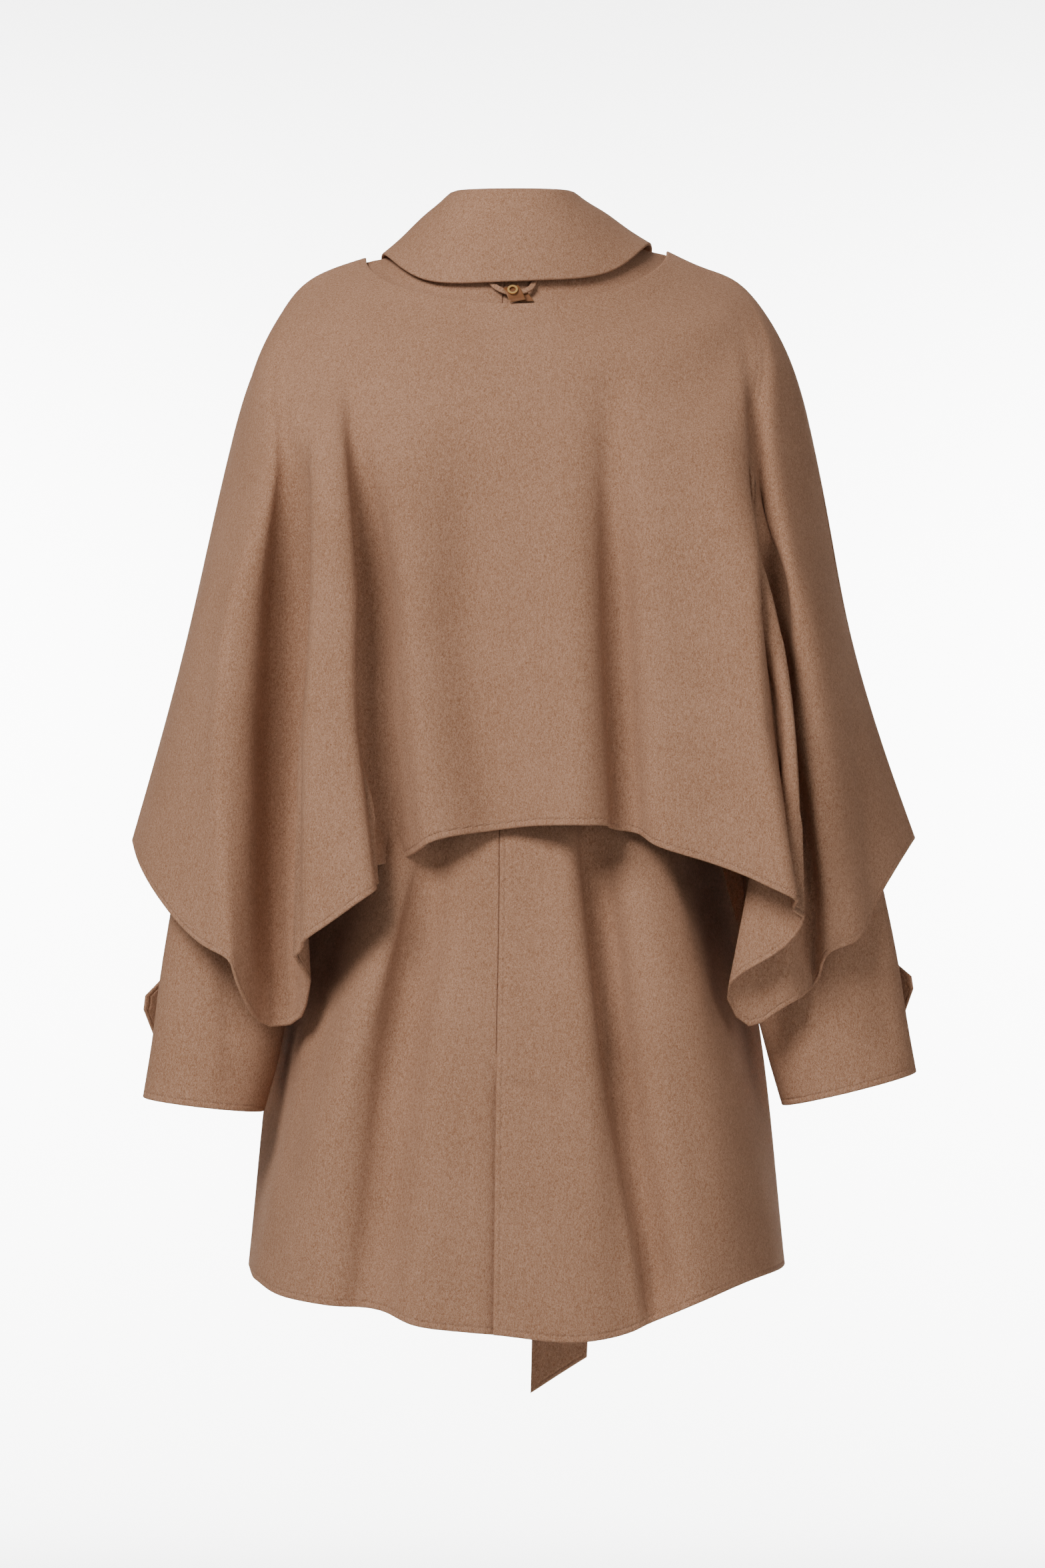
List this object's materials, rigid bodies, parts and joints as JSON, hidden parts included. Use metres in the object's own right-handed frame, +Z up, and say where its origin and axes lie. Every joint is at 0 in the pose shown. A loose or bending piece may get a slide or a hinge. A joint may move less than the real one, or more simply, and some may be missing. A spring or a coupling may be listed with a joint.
{
  "type": "cape coat",
  "caption": "Belted wool cape coat with a free shoulder cape, turn-down collar, wide sleeves with pointed cuff tabs and a hang loop with a leather clasp, filled out as worn.",
  "frame": {"origin": "base of the neck, midway between the shoulders, where a hanger or stand holds it", "axes": "+X to the right as seen from behind, +Y the way the wearer faces, +Z up"},
  "size_m": [0.6659, 0.361, 1.0375],
  "materials": {
    "wool": "brushed double-faced wool, matt with a soft nap",
    "leather": "smooth brown leather with pale cut edges",
    "brass": "polished snap"
  },
  "bodies": {
    "root": {"coat_back_left": "wool", "coat_back_right": "wool", "coat_front_left": "wool", "coat_front_right": "wool", "cape_back": "wool", "cape_front_left": "wool", "cape_front_right": "wool", "sleeve_left": "wool", "sleeve_right": "wool", "sleeve_tab_left": "wool", "sleeve_tab_right": "wool", "collar": "wool", "belt": "wool", "belt_knot": "wool", "belt_end_long": "wool", "belt_end_short": "wool", "hang_loop": "wool", "loop_tab": "leather", "loop_tab_back": "leather", "loop_snap": "brass"}
  },
  "joints": []
}
